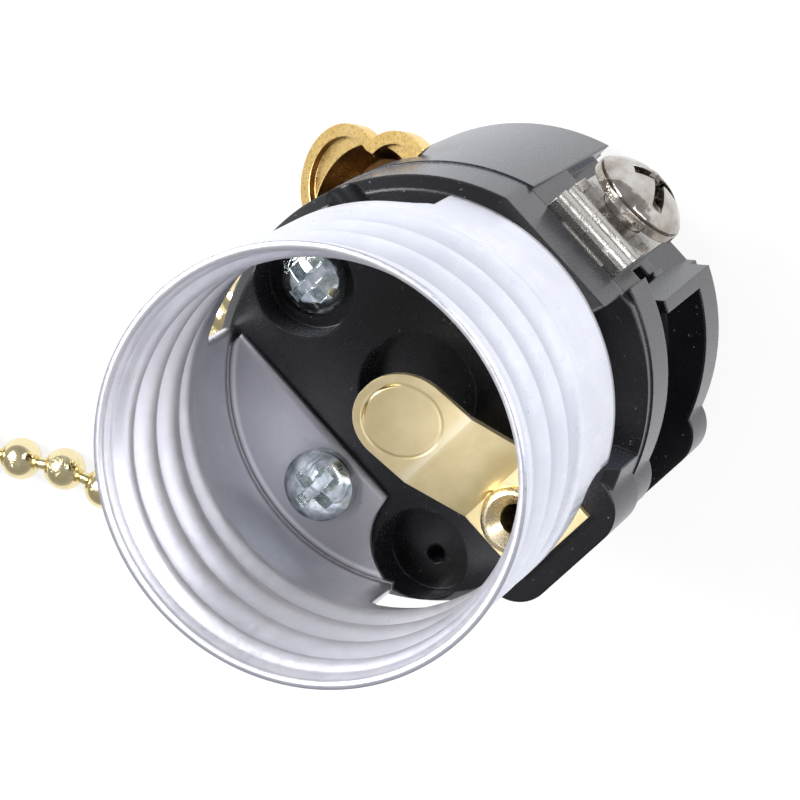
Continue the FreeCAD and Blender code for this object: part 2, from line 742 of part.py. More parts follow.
def make_pawl():
    """The pawl: a short arm on the drum's pin whose nose lies on the ratchet wheel."""
    pin_y, pin_z = pawl_pin_place()
    nose_angle = math.radians(247.0)
    nose_radius = ratchet_radius + part_gap + 0.35
    nose = V(0, shaft_y + nose_radius * math.cos(nose_angle),
             shaft_z + nose_radius * math.sin(nose_angle))
    start = V(0, pin_y, pin_z)
    low_x = ratchet_low_x + 0.1
    eye = rod_x(pawl_pin_radius + 0.5, low_x, low_x + pawl_width, pin_y, pin_z)
    span = nose - start
    side = V(0, -span.z, span.y)
    side.normalize()
    a = start + side * 0.45
    b = start - side * 0.45
    c = nose - side * 0.3
    d = nose + side * 0.3
    arm = prism([V(low_x, p.y, p.z) for p in (a, b, c, d)], V(pawl_width, 0, 0))
    pawl = eye.fuse(arm)
    return pawl.cut(rod_x(pawl_pin_radius + running_clearance, low_x - 1, low_x + 3,
                          pin_y, pin_z))


def make_rotor():
    """The insulating rotor with the square that the detent spring holds."""
    rotor = rod_x(rotor_radius, detent_high_x, ratchet_low_x, shaft_y, shaft_z)
    half = detent_half_side
    square = box((detent_low_x, shaft_y - half, shaft_z - half),
                 (detent_high_x, shaft_y + half, shaft_z + half))
    square = square.common(rod_x(rotor_radius - 0.2, detent_low_x, detent_high_x,
                                 shaft_y, shaft_z))
    rotor = rotor.fuse(square)
    slot = box((finger_low_x + bridge_margin, shaft_y - 8, shaft_z - bridge_height / 2),
               (finger_high_x - bridge_margin, shaft_y + 8, shaft_z + bridge_height / 2))
    rotor = rotor.cut(slot)
    return rotor.cut(rod_x(shaft_radius + running_clearance, -10, 5, shaft_y, shaft_z))


def make_bridge():
    """The brass bar through the rotor, which joins the two spring fingers when on."""
    bar = box((finger_low_x + bridge_margin, shaft_y - bridge_reach, shaft_z - bridge_height / 2),
              (finger_high_x - bridge_margin, shaft_y + bridge_reach, shaft_z + bridge_height / 2))
    bar = bar.common(rod_x(bridge_reach, -10, 5, shaft_y, shaft_z))
    return bar.cut(rod_x(shaft_radius + running_clearance, -10, 5, shaft_y, shaft_z))


def make_return_spring():
    """The torsion spring that winds the chain back, round the shaft beside the drum."""
    height = spring_pitch * spring_turns
    helix = Part.makeHelix(spring_pitch, height, spring_coil_radius)
    circle = Part.Wire(Part.makeCircle(spring_wire_radius, V(spring_coil_radius, 0, 0),
                                       V(0, 1, 0)))
    coil = Part.Wire(helix.Edges).makePipeShell([circle], True, True)
    coil.rotate(V(0, 0, 0), V(0, 1, 0), 90)
    coil.translate(V(drum_high_x + part_gap + spring_wire_radius, shaft_y, shaft_z))
    return coil


def make_detent_spring():
    """The leaf under the rotor's square, resting on the cavity's floor at its two ends."""
    high = shaft_z - rotor_radius - leaf_gap - leaf_thickness / 2.0
    foot = cavity_floor_z + leaf_thickness / 2.0
    line = [(shaft_y - 4.8, foot), (shaft_y - 4.0, foot), (shaft_y - 2.4, high),
            (shaft_y + 2.4, high), (shaft_y + 4.0, foot), (shaft_y + 4.8, foot)]
    return strip_along(line, leaf_thickness, detent_low_x - 0.2, detent_high_x + 0.2, "yz")


def beads_at(points):
    return Part.makeCompound([Part.makeSphere(bead_radius, point) for point in points])


def links_between(points):
    """The short pins that show between one bead and the next."""
    pins = []
    for start, end in zip(points[:-1], points[1:]):
        span = end - start
        pin = Part.makeCylinder(link_radius, span.Length, start, span)
        pin = pin.cut(Part.makeSphere(bead_radius, start))
        pins.append(pin.cut(Part.makeSphere(bead_radius, end)))
    return Part.makeCompound(pins)


def main():
    guide = make_guide()
    export(make_shell(), "screw_shell")
    export(make_front_body(), "front_body")
    export(make_rear_body(guide), "rear_body")
    export(guide, "chain_guide")
    export(make_contact(), "centre_contact")
    export(make_rivet(), "contact_rivet")
    export(small_screw(shell_screw_x, shell_screw_y, face_z + sheet, parting_z - strip - 1.0),
           "shell_screw")
    export(small_screw(body_screw_x, body_screw_y, counterbore_floor_z, body_screw_end_z),
           "body_screw")
    export(make_neutral_terminal(), "neutral_terminal")
    export(make_terminal_screw(1), "neutral_terminal_screw")
    export(make_line_terminal(), "line_terminal")
    export(make_terminal_screw(-1), "line_terminal_screw")
    export(make_load_contact(), "load_contact")
    export(rod_x(shaft_radius, -shaft_half_length, shaft_half_length, shaft_y, shaft_z),
           "switch_shaft")
    export(make_drum(), "chain_drum")
    export(make_anchor_beads(), "anchor_beads")
    export(make_ratchet(), "ratchet_wheel")
    export(make_pawl(), "drum_pawl")
    export(make_rotor(), "contact_rotor")
    export(make_bridge(), "rotor_bridge")
    export(make_return_spring(), "return_spring")
    export(make_detent_spring(), "detent_spring")
    export(beads_at(inner_points), "inner_beads")
    export(links_between(inner_points), "inner_link")
    export(beads_at(chain_points), "chain_beads")
    export(links_between(chain_points), "chain_links")


main()
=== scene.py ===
"""Looks of the pull-chain lamp socket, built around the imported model."""
import json
import math
import bpy
from mathutils import Matrix, Vector


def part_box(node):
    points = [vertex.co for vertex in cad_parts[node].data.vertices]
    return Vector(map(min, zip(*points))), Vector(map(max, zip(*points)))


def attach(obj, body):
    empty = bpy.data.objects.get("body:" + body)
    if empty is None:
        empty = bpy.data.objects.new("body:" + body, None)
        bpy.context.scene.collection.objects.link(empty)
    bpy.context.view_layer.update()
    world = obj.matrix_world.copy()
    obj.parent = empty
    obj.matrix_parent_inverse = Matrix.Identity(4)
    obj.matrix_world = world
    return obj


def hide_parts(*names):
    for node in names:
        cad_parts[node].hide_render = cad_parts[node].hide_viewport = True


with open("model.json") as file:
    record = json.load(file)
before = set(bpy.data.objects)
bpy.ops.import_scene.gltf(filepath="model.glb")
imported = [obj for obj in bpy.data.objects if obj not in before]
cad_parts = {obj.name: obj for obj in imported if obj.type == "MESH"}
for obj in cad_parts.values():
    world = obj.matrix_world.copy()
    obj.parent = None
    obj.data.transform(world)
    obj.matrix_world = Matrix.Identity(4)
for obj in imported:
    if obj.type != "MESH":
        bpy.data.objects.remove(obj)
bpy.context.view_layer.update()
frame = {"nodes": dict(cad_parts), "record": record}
nodes = frame["nodes"]

# Lengths in this file are in millimetres, and this turns them into metres
MM = 0.001

# The photograph's view, found from the shell's circles
CAMERA_PLACE = Vector((91.67, -13.58, 240.94)) * MM
CAMERA_RIGHT = Vector((0.66801, -0.66626, -0.33149))
CAMERA_UP = Vector((0.63041, 0.74335, -0.22366))
CAMERA_BACK = Vector((0.39542, -0.05956, 0.91657))
CAMERA_LENS = 161.77
SENSOR_WIDTH = 36.0
CAMERA_NEAR = 1.0
CAMERA_FAR = 10000.0

# Square lamps, aimed at one point: name, place, side, power and colour
LAMPS = (
    ("key", (-60, 260, 330), 220, 3.2, (1.0, 1.0, 1.0)),
    ("fill", (330, -120, 240), 240, 1.6, (0.96, 0.98, 1.0)),
)
LAMP_TARGET = (0, 0, 25)

# The world's light on the object, and what a mirror shows of it, as (ray's height, brightness)
WORLD_LIGHT = 0.55
MIRRORED_WORLD = ((0.0, 0.48), (0.40, 0.34), (1.0, 0.40))

# The floor reaches this far each way, and this much of what is seen of it is plain white
FLOOR_REACH = 900.0
FLOOR_WHITE = 0.85

# Heights along the socket's axis, from the frame
RIM_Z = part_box("screw_shell")[1].z / MM
FACE_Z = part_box("front_body")[1].z / MM

# The screw shell: its sheet's thickness, its outside radii, and the bend between wall and flange
SHEET = 0.5
SKIRT_RADIUS = 13.6
LIP_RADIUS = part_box("screw_shell")[1].y / MM
BEND_RADIUS = 0.55

# Its thread: pitch, depth, lowest and highest point, its start as a share of a turn, and the power
# that widens its valleys
THREAD_PITCH = 3.63
THREAD_DEPTH = 0.75
THREAD_LOW_Z = 32.9
THREAD_HIGH_Z = 44.9
THREAD_PHASE = -0.12
VALLEY_POWER = 0.8

# How far under its lowest point the thread begins, and the heights over which it reaches its
# depth, runs out below the lip, and the lip rolls out
THREAD_LEAD = 0.6
THREAD_RISE = 1.6
THREAD_FALL = 0.9
LIP_RISE = 0.7

# Its two windows: first and last angle, and the top's outline as (degrees, height) points
WINDOW_TOP = 30.7
WINDOWS = (
    (34.4, 120.0, ((34.4, 29.4), (36.5, 29.9), (39.0, 30.45), (43.0, 30.75), (60.0, WINDOW_TOP),
                   (118.0, WINDOW_TOP), (120.0, 30.2))),
    (218.3, 300.4, ((218.3, 30.2), (221.0, WINDOW_TOP), (279.0, WINDOW_TOP), (286.0, 30.3),
                    (290.0, 30.0), (297.0, 29.9), (298.8, 29.3), (300.4, 27.7))),
)

# Its flange: the chord that ends it, its upper corner, the angle where it stops at the second
# window, the scallop's middle and radius, and the least width of a row
FLANGE_CHORD_X = -6.4
FLANGE_TOP_Y = 11.2
FLANGE_LAST_DEG = WINDOWS[1][0]
SCALLOP_X, SCALLOP_Y, SCALLOP_RADIUS = -6.5, -7.9, 4.1
LEAST_WIDTH = 0.05

# How finely the sheet is divided, how near to a window's top a level counts as on it, when points
# weld, and how sharp a bend shows as an edge
WALL_STEP_DEG = 2
WALL_LEVELS = 110
FLANGE_ROWS = 60
BEND_STEPS = 6
FLANGE_STEPS = 12
LEVEL_SLACK = 0.001
WELD_DISTANCE = 0.002
SHEET_EDGE_DEG = 50.0

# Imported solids: facets join at this distance and look smooth up to an angle, a smaller one on the
# strips with crisp folds
JOIN_DISTANCE = 0.0005
USUAL_EDGE_DEG = 26.0
CRISP_EDGE_DEG = 9.0
CREASED = ("centre_contact", "neutral_terminal", "line_terminal")

# Most of a noise texture's values lie in the first range, and most colours drift over the second
NOISE_RANGE = (0.3, 0.7)
DRIFT_RANGE = (0.35, 0.65)

# The shell's surface is its outside where facing_away is above this, and its foot, with the flange
# and the bend, which are painted darker as painted shade, up to this height over the front body
OUTWARD = 1.0
FOOT_HEIGHT = 1.0

# The painted highlight line and painted shade line on the bend at the shell's foot: radius, reach
# to each side, strength and colour
FOOT_LIGHT_AND_SHADE_LINES = (
    (12.67, 0.25, 0.7, (0.90, 0.90, 0.92)),
    (12.97, 0.12, 0.8, (0.14, 0.14, 0.15)),
)

# The middle of the chain guide's mouth, whose wall gets painted shade between these values of
# facing_away
GUIDE_MOUTH = (1.1, 11.5, 15.8)
GUIDE_SHADE_RANGE = (-0.5, -2.6)

# Marks on the centre contact, as x, y, radius and reach to each side, which get painted shade in
# their grooves, and the line where the strip is folded, whose painted highlight fades between these
# distances from its middle
COIN = (0.0, -1.0, 2.5, 0.16)
PUNCH = (-0.9, -8.4, 0.45, 0.2)
FOLD_Y = -3.7
FOLD_HIGHLIGHT_FADE = (0.1, 0.55)


def material(name):
    """A new material, its node tree and its shader."""
    made = bpy.data.materials.new(name)
    made.use_nodes = True
    tree = made.node_tree
    return made, tree, tree.nodes["Principled BSDF"]


def add_node(tree, kind, inputs, **settings):
    """A new node with its settings; each input gets a value or a link from a socket."""
    made = tree.nodes.new(kind)
    for name, value in settings.items():
        setattr(made, name, value)
    for key, value in inputs.items():
        if isinstance(value, bpy.types.NodeSocket):
            tree.links.new(value, made.inputs[key])
        else:
            made.inputs[key].default_value = value
    return made


def math_node(tree, operation, first, second=0.0):
    """A calculation with one or two numbers or sockets."""
    return add_node(tree, "ShaderNodeMath", {0: first, 1: second}, operation=operation).outputs[0]


def times(tree, first, second):
    """The product of two numbers or sockets."""
    return math_node(tree, "MULTIPLY", first, second)


def distance(tree, value, place):
    """How far a value is from a place, on either side."""
    return math_node(tree, "ABSOLUTE", math_node(tree, "SUBTRACT", value, place))


def map_range(tree, value, low, high, to_low=0.0, to_high=1.0):
    """The value moved from one range to another, and held inside it."""
    inputs = {"Value": value, "From Min": low, "From Max": high, "To Min": to_low,
              "To Max": to_high}
    return add_node(tree, "ShaderNodeMapRange", inputs).outputs["Result"]


def vector_math(tree, operation, first, second=(0.0, 0.0, 0.0)):
    """The outputs of a calculation with one or two vectors or sockets."""
    inputs = {0: first, 1: second}
    return add_node(tree, "ShaderNodeVectorMath", inputs, operation=operation).outputs


def stretched(tree, vector, x, y, z):
    """The vector times a scale of its own along each axis."""
    return vector_math(tree, "MULTIPLY", vector, (x, y, z))["Vector"]


def offset_from(tree, vector, place):
    """The way from a place to the shaded point."""
    return vector_math(tree, "SUBTRACT", vector, place)["Vector"]


def coordinate(tree, kind):
    """One kind of coordinate of the shaded point."""
    return add_node(tree, "ShaderNodeTexCoord", {}).outputs[kind]


def place_mm(tree):
    """The object's own coordinates in millimetres."""
    return stretched(tree, coordinate(tree, "Object"), 1.0 / MM, 1.0 / MM, 1.0 / MM)


def split(tree, vector):
    """The X, Y and Z of a vector."""
    return add_node(tree, "ShaderNodeSeparateXYZ", {0: vector}).outputs


def mix(tree, factor, first, second):
    """A mix of two colours, by a number or socket; each is a tuple or a socket."""
    first, second = [(*colour, 1) if isinstance(colour, tuple) else colour
                     for colour in (first, second)]
    inputs = {0: factor, 6: first, 7: second}
    return add_node(tree, "ShaderNodeMix", inputs, data_type="RGBA").outputs[2]


def laid_over(tree, base, mask, amount, colour):
    """The base with a colour laid over it where the mask is above 0."""
    return mix(tree, times(tree, mask, amount), base, colour)


def ramp(tree, value, stops):
    """A colour ramp through (position, colour) stops."""
    made = add_node(tree, "ShaderNodeValToRGB", {"Fac": value})
    elements = made.color_ramp.elements
    while len(elements) < len(stops):
        elements.new(0.5)
    for element, (position, colour) in zip(elements, stops):
        element.position = position
        element.color = (*colour, 1)
    return made.outputs["Color"]


def drifting(tree, drift, first, second, over=DRIFT_RANGE):
    """A colour that goes from the first to the second over a range of the drift's noise."""
    return ramp(tree, drift, ((over[0], first), (over[1], second)))


def noise(tree, vector, scale, detail=2.0, roughness=0.5, distortion=0.0):
    """The values of a noise texture."""
    inputs = {"Vector": vector, "Scale": scale, "Detail": detail, "Roughness": roughness,
              "Distortion": distortion}
    return add_node(tree, "ShaderNodeTexNoise", inputs).outputs["Fac"]


def patches(tree, vector, scale):
    """Noise in broad, soft patches."""
    return noise(tree, vector, scale, detail=3.0, roughness=0.6)


def fine_grain(tree, vector, scale):
    """Noise with fine grain in it."""
    return noise(tree, vector, scale, detail=4.0, roughness=0.65)


def specks(tree, vector, scale, least):
    """Small scattered spots: 1 where their noise is well above the least value, else 0."""
    return map_range(tree, noise(tree, vector, scale, roughness=0.7), least, least + 0.04)


def scratches(tree, vector, scale, thickness):
    """Thin, short, wandering lines: 1 on a line and 0 off it."""
    wander = noise(tree, vector, 0.7 * scale, detail=3.0, roughness=0.6, distortion=2.5)
    line = map_range(tree, distance(tree, wander, 0.5), 0.0, thickness, 1.0, 0.0)
    kept = map_range(tree, noise(tree, vector, 0.35 * scale, detail=1.0), 0.55, 0.62)
    return times(tree, line, kept)


def ring(tree, vector, x, y, radius, reach):
    """1 on a circle about an upright axis, fading to 0 at its reach on each side."""
    level = stretched(tree, offset_from(tree, vector, (x, y, 0.0)), 1.0, 1.0, 0.0)
    from_axis = vector_math(tree, "LENGTH", level)["Value"]
    return map_range(tree, distance(tree, from_axis, radius), 0.0, reach, 1.0, 0.0)


def facing_away(tree, offset):
    """How far the surface faces along an offset; below 0 it faces back to the start."""
    return vector_math(tree, "DOT_PRODUCT", coordinate(tree, "Normal"), offset)["Value"]


def roughen(tree, shader, grain, least, most):
    """Roughness from the least to the most over the usual range of the grain's noise."""
    rough = map_range(tree, grain, *NOISE_RANGE, least, most)
    tree.links.new(rough, shader.inputs["Roughness"])


def bump(tree, shader, height, depth, strength, edge):
    """Bump from a height, over edges rounded by a radius."""
    rounded = add_node(tree, "ShaderNodeBevel", {"Radius": edge * MM}, samples=6)
    inputs = {"Strength": strength, "Distance": depth * MM, "Height": height,
              "Normal": rounded.outputs[0]}
    made = add_node(tree, "ShaderNodeBump", inputs)
    tree.links.new(made.outputs[0], shader.inputs["Normal"])


def metal(name, colour, tint, roughness, grain=1.2, scratch=0.02, edge=0.12, spread=0.12,
          lumps=0.0, patch=0.35):
    """A plated or plain metal: colour drifts to its tint, with grain, scratches and lumps."""
    made, tree, shader = material(name)
    vector = place_mm(tree)
    shader.inputs["Metallic"].default_value = 1.0
    drift = map_range(tree, patches(tree, vector, patch), *DRIFT_RANGE)
    lines = scratches(tree, vector, grain, scratch)
    dark = tuple(0.55 * channel for channel in colour)
    base = laid_over(tree, mix(tree, drift, colour, tint), lines, 0.5, dark)
    tree.links.new(base, shader.inputs["Base Color"])
    fine = fine_grain(tree, vector, 6.0 * grain)
    roughen(tree, shader, fine, roughness * (1 - spread), roughness * (1 + spread))
    height = math_node(tree, "SUBTRACT", times(tree, fine, 0.25), lines)
    if lumps:
        uneven = noise(tree, vector, 0.9, detail=1.0)
        height = math_node(tree, "ADD", height, times(tree, uneven, lumps))
    bump(tree, shader, height, depth=0.012, strength=0.6, edge=edge)
    return made


def valley_shade_mask(tree, vector):
    """Painted shade in the shell's thread: 1 along the bottom of the thread and 0 along its crest,
    skirt and lip.
    """
    parts = split(tree, vector)
    z = parts["Z"]
    turn = math_node(tree, "ARCTAN2", parts["Y"], parts["X"])
    turn = math_node(tree, "DIVIDE", turn, 2.0 * math.pi)
    climb = math_node(tree, "DIVIDE", math_node(tree, "SUBTRACT", z, THREAD_LOW_Z), THREAD_PITCH)
    phase = math_node(tree, "ADD", math_node(tree, "SUBTRACT", climb, turn), THREAD_PHASE)
    swing = math_node(tree, "COSINE", times(tree, phase, 2.0 * math.pi))
    wave = map_range(tree, swing, 0.2, -1.0)
    start = THREAD_LOW_Z - THREAD_LEAD
    low = map_range(tree, z, start, start + THREAD_RISE)
    high = map_range(tree, z, THREAD_HIGH_Z - THREAD_FALL, THREAD_HIGH_Z, 1.0, 0.0)
    return times(tree, wave, times(tree, low, high))


def shell_metal():
    """Pressed aluminium: bluer outside, painted darker inside as painted shade, with drawing lines
    and dark pits.
    """
    made, tree, shader = material("aluminium_shell")
    vector = place_mm(tree)
    shader.inputs["Metallic"].default_value = 0.9
    radial = facing_away(tree, stretched(tree, vector, 1.0, 1.0, 0.0))
    outside = math_node(tree, "GREATER_THAN", radial, OUTWARD)
    drift = patches(tree, vector, 0.3)
    # Lit and shaded copies of one aluminium: the outside is lighter and bluer, and the inside's
    # darker colour is painted shade
    outer = drifting(tree, drift, (0.69, 0.71, 0.81), (0.76, 0.78, 0.86))
    # Painted shade along the thread's valleys
    outer = laid_over(tree, outer, valley_shade_mask(tree, vector), 0.6, (0.38, 0.39, 0.46))
    inner = drifting(tree, drift, (0.66, 0.66, 0.72), (0.74, 0.74, 0.79))
    base = mix(tree, outside, inner, outer)
    # Painted shade: the foot, flange and bend are painted darker than the rest of the shell
    foot = math_node(tree, "LESS_THAN", split(tree, vector)["Z"], FACE_Z + FOOT_HEIGHT)
    base = laid_over(tree, base, foot, 0.6, (0.27, 0.26, 0.27))
    # A painted highlight line and a painted shade line where the wall bends into the flange
    for radius, reach, strength, colour in FOOT_LIGHT_AND_SHADE_LINES:
        line = times(tree, ring(tree, vector, 0.0, 0.0, radius, reach), foot)
        base = laid_over(tree, base, line, strength, colour)
    base = laid_over(tree, base, specks(tree, vector, 2.4, 0.73), 0.6, (0.16, 0.16, 0.17))
    base = laid_over(tree, base, scratches(tree, vector, 0.8, 0.010), 0.35, (0.34, 0.34, 0.38))
    tree.links.new(base, shader.inputs["Base Color"])
    drawn = noise(tree, stretched(tree, vector, 1.0, 1.0, 0.06), 2.6, detail=4.0, roughness=0.6)
    satin = map_range(tree, drawn, *NOISE_RANGE, 0.42, 0.54)
    rough = math_node(tree, "SUBTRACT", satin, times(tree, outside, 0.16))
    tree.links.new(rough, shader.inputs["Roughness"])
    height = math_node(tree, "ADD", times(tree, fine_grain(tree, vector, 5.0), 0.3), drawn)
    bump(tree, shader, height, depth=0.02, strength=0.5, edge=0.10)
    return made


def guide_brass():
    """Lacquered brass of the chain guide: gold outside, with dark brown painted shade down its
    mouth.
    """
    made, tree, shader = material("brass_guide")
    vector = place_mm(tree)
    shader.inputs["Metallic"].default_value = 1.0
    gold = drifting(tree, patches(tree, vector, 0.5), (0.86, 0.59, 0.21), (0.95, 0.69, 0.30))
    # Painted shade: the wall inside the mouth, facing back towards its middle, goes dark brown
    away = facing_away(tree, offset_from(tree, vector, GUIDE_MOUTH))
    mouth_shade = map_range(tree, away, *GUIDE_SHADE_RANGE)
    base = laid_over(tree, gold, mouth_shade, 0.92, (0.10, 0.035, 0.012))
    tree.links.new(base, shader.inputs["Base Color"])
    fine = fine_grain(tree, vector, 5.0)
    roughen(tree, shader, fine, 0.24, 0.36)
    bump(tree, shader, fine, depth=0.012, strength=0.6, edge=0.12)
    return made


def contact_brass():
    """Pale rolled brass with a coined circle at the tip and a small punch mark, both with painted
    shade, and a painted highlight where it is folded.
    """
    made, tree, shader = material("brass_contact")
    vector = place_mm(tree)
    shader.inputs["Metallic"].default_value = 0.85
    base = drifting(tree, patches(tree, vector, 0.4), (0.74, 0.61, 0.33), (0.83, 0.70, 0.41))
    # Painted shade in the grooves of the coined circle and the punch mark
    marks = math_node(tree, "ADD", ring(tree, vector, *COIN), ring(tree, vector, *PUNCH))
    base = laid_over(tree, base, marks, 0.3, (0.30, 0.24, 0.10))
    # Painted highlight along the line where the strip is folded
    past = distance(tree, split(tree, vector)["Y"], FOLD_Y)
    fold_highlight = map_range(tree, past, *FOLD_HIGHLIGHT_FADE, 1.0, 0.0)
    base = laid_over(tree, base, fold_highlight, 0.8, (0.86, 0.78, 0.54))
    tree.links.new(base, shader.inputs["Base Color"])
    fine = fine_grain(tree, stretched(tree, vector, 1.0, 0.15, 1.0), 5.0)
    roughen(tree, shader, fine, 0.36, 0.46)
    height = math_node(tree, "SUBTRACT", times(tree, fine, 0.06), marks)
    bump(tree, shader, height, depth=0.08, strength=0.8, edge=0.08)
    return made


def black_moulding():
    """Black thermoset: glossy with a faint cool sheen, dust and pale nicks."""
    made, tree, shader = material("black_moulding")
    vector = place_mm(tree)
    shader.inputs["Specular IOR Level"].default_value = 0.4
    shader.inputs["Sheen Weight"].default_value = 0.08
    shader.inputs["Sheen Roughness"].default_value = 0.4
    shader.inputs["Sheen Tint"].default_value = (0.70, 0.76, 1.0, 1)
    drift = patches(tree, vector, 0.25)
    base = drifting(tree, drift, (0.003, 0.003, 0.004), (0.006, 0.006, 0.008), NOISE_RANGE)
    dust = specks(tree, vector, 2.6, 0.70)
    base = laid_over(tree, base, dust, 0.35, (0.22, 0.22, 0.24))
    tree.links.new(base, shader.inputs["Base Color"])
    fine = noise(tree, vector, 7.0, detail=5.0, roughness=0.7)
    roughen(tree, shader, fine, 0.20, 0.30)
    height = math_node(tree, "ADD", times(tree, fine, 0.35), dust)
    bump(tree, shader, height, depth=0.02, strength=0.6, edge=0.28)
    return made


def plain_moulding(name, colour):
    """A dull moulded plastic for the switch's inner pieces."""
    made, tree, shader = material(name)
    vector = place_mm(tree)
    darker = tuple(0.8 * channel for channel in colour)
    base = mix(tree, patches(tree, vector, 0.5), darker, colour)
    tree.links.new(base, shader.inputs["Base Color"])
    fine = noise(tree, vector, 8.0, detail=4.0, roughness=0.6)
    roughen(tree, shader, fine, 0.45, 0.6)
    bump(tree, shader, fine, depth=0.02, strength=0.5, edge=0.15)
    return made


def make_materials():
    """One material for each of the record's slots."""
    return {
        "aluminium_shell": shell_metal(),
        "black_moulding": black_moulding(),
        "zinc_screw": metal("zinc_screw", (0.90, 0.94, 0.95), (0.36, 0.43, 0.45), 0.14,
                            grain=1.5, scratch=0.03, edge=0.10, spread=0.5, lumps=14.0,
                            patch=1.1),
        "brass_contact": contact_brass(),
        "brass_rivet": metal("brass_rivet", (0.74, 0.64, 0.42), (0.60, 0.48, 0.28), 0.28),
        "brass_guide": guide_brass(),
        "nickel_terminal": metal("nickel_terminal", (0.52, 0.50, 0.48), (0.42, 0.40, 0.37), 0.24,
                                 grain=1.6, scratch=0.03, edge=0.10, spread=0.35, lumps=3.0),
        "nickel_screw": metal("nickel_screw", (0.56, 0.54, 0.52), (0.34, 0.30, 0.26), 0.10,
                              grain=1.4, scratch=0.02, edge=0.10, spread=0.3, lumps=16.0,
                              patch=0.5),
        "brass_terminal": metal("brass_terminal", (0.76, 0.60, 0.30), (0.66, 0.50, 0.24), 0.28),
        "brass_screw": metal("brass_screw", (0.78, 0.62, 0.32), (0.70, 0.54, 0.26), 0.2),
        "brass_chain": metal("brass_chain", (0.86, 0.76, 0.47), (0.80, 0.68, 0.38), 0.16),
        "switch_moulding": plain_moulding("switch_moulding", (0.50, 0.44, 0.34)),
        "spring_steel": metal("spring_steel", (0.55, 0.56, 0.58), (0.45, 0.46, 0.48), 0.3),
    }


materials = make_materials()


def smooth_group(edge_deg):
    """A node group that joins a node's facets and smooths them up to the angle."""
    group = bpy.data.node_groups.new("smooth_between_edges", "GeometryNodeTree")
    group.interface.new_socket("Geometry", in_out="INPUT", socket_type="NodeSocketGeometry")
    group.interface.new_socket("Geometry", in_out="OUTPUT", socket_type="NodeSocketGeometry")
    source = add_node(group, "NodeGroupInput", {}).outputs[0]
    joined = add_node(group, "GeometryNodeMergeByDistance",
                      {"Geometry": source, "Distance": JOIN_DISTANCE * MM}).outputs[0]
    smooth = add_node(group, "GeometryNodeSetShadeSmooth", {"Geometry": joined}).outputs[0]
    angle = add_node(group, "GeometryNodeInputMeshEdgeAngle", {}).outputs["Unsigned Angle"]
    steep = add_node(group, "FunctionNodeCompare", {"A": angle, "B": math.radians(edge_deg)},
                     operation="GREATER_THAN").outputs[0]
    sharp = add_node(group, "GeometryNodeSetShadeSmooth",
                     {"Geometry": smooth, "Selection": steep, "Shade Smooth": False},
                     domain="EDGE").outputs[0]
    add_node(group, "NodeGroupOutput", {0: sharp})
    return group


def dress_cad():
    """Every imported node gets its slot's material and smooth shading between sharp edges."""
    slot_of = {row["node"]: row["material_slot"] for row in frame["record"]["subparts"]}
    usual = smooth_group(USUAL_EDGE_DEG)
    crisp = smooth_group(CRISP_EDGE_DEG)
    for name, piece in nodes.items():
        piece.data.materials.clear()
        piece.data.materials.append(materials[slot_of[name]])
        group = crisp if name in CREASED else usual
        piece.modifiers.new("smooth", "NODES").node_group = group


def smooth_step(value):
    """A soft rise from 0 to 1 as the value goes from 0 to 1."""
    value = min(max(value, 0.0), 1.0)
    return value * value * (3.0 - 2.0 * value)


def shell_radius(z, theta_deg):
    """The outside radius of the screw shell: plain skirt, helical thread, rolled lip."""
    phase = (z - THREAD_LOW_Z) / THREAD_PITCH - theta_deg / 360.0 + THREAD_PHASE
    wave = (0.5 - 0.5 * math.cos(2.0 * math.pi * phase)) ** VALLEY_POWER
    low = smooth_step((z - THREAD_LOW_Z + THREAD_LEAD) / THREAD_RISE)
    high = 1.0 - smooth_step((z - THREAD_HIGH_Z + THREAD_FALL) / THREAD_FALL)
    lip = smooth_step((z - THREAD_HIGH_Z) / LIP_RISE)
    radius = SKIRT_RADIUS - THREAD_DEPTH * wave * low * high
    return radius + lip * (LIP_RADIUS - SKIRT_RADIUS)


def between(points, at):
    """The value at a place on a line through (place, value) points."""
    for (x0, y0), (x1, y1) in zip(points[:-1], points[1:]):
        if x0 <= at <= x1:
            return y0 + (y1 - y0) * (at - x0) / (x1 - x0)
    return points[-1][1]


def window_top(theta_deg):
    """The height of a window's top at an angle, or None where there is no window."""
    theta_deg %= 360.0
    for first, last, outline in WINDOWS:
        if first < theta_deg < last:
            return between(outline, theta_deg)
    return None


def direction(theta_deg):
    """The level direction at an angle about the socket's axis."""
    theta = math.radians(theta_deg)
    return Vector((math.cos(theta), math.sin(theta), 0))


def wall_column(theta_deg, levels):
    """Outside points of the wall at one angle, from the window's top or the skirt's foot up."""
    top = window_top(theta_deg)
    lowest = levels[0] if top is None else top
    column = []
    for level in levels:
        z = max(level, lowest)
        column.append(direction(theta_deg) * shell_radius(z, theta_deg) + Vector((0, 0, z)))
    return column


def flange_row(theta_deg):
    """Underside points of the flange from the wall's foot to the chord or the scallop."""
    row = []
    for step in range(BEND_STEPS + 1):
        turned = math.radians(90.0 * step / BEND_STEPS)
        radius = SKIRT_RADIUS - BEND_RADIUS * (1 - math.cos(turned))
        z = FACE_Z + BEND_RADIUS * (1 - math.sin(turned))
        row.append(direction(theta_deg) * radius + Vector((0, 0, z)))
    start = row[-1]
    end_x = FLANGE_CHORD_X
    if abs(start.y - SCALLOP_Y) < SCALLOP_RADIUS:
        half = math.sqrt(SCALLOP_RADIUS ** 2 - (start.y - SCALLOP_Y) ** 2)
        end_x = min(end_x, SCALLOP_X - half)
    end_x = max(end_x, start.x + LEAST_WIDTH)
    for step in range(1, FLANGE_STEPS + 1):
        x = start.x + (end_x - start.x) * step / FLANGE_STEPS
        row.append(Vector((x, start.y, FACE_Z)))
    return row


